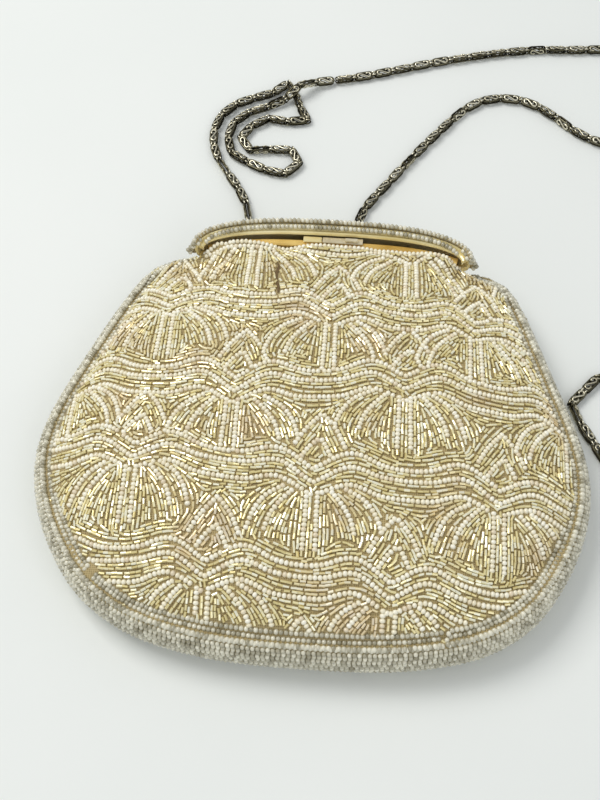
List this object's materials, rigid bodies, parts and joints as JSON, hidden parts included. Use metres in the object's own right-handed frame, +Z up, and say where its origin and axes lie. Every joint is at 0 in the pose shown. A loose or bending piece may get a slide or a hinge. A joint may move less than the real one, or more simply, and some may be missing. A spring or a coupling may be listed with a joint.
{
  "type": "beaded clutch",
  "caption": "Evening clutch covered in seed beads, a crowned round pouch with a hinged metal lid frame and a long scroll-link chain that lies in loops beside it.",
  "frame": {"origin": "on the table, under the middle of the pouch", "axes": "+Z up from the table, +Y from the pouch's bottom to the metal frame, +X to the right of the pouch seen from above"},
  "size_m": [0.2743, 0.3105, 0.0345],
  "materials": {
    "beaded_cloth": "glossy pearl and gold seed beads on cloth",
    "gold_metal": "polished",
    "pale_steel": "satin",
    "dark_brass": "aged"
  },
  "bodies": {
    "root": {"front_panel": "beaded_cloth", "back_panel": "beaded_cloth", "side_band": "beaded_cloth", "lid": "gold_metal", "lid_cover": "beaded_cloth", "front_strip": "gold_metal", "latch_tab": "gold_metal", "latch_bar": "pale_steel", "latch_hook": "pale_steel", "left_hinge_pin": "gold_metal", "right_hinge_pin": "gold_metal", "left_jump_ring": "dark_brass", "right_jump_ring": "dark_brass", "chain_near": "dark_brass", "chain_far": "dark_brass"}
  },
  "joints": []
}
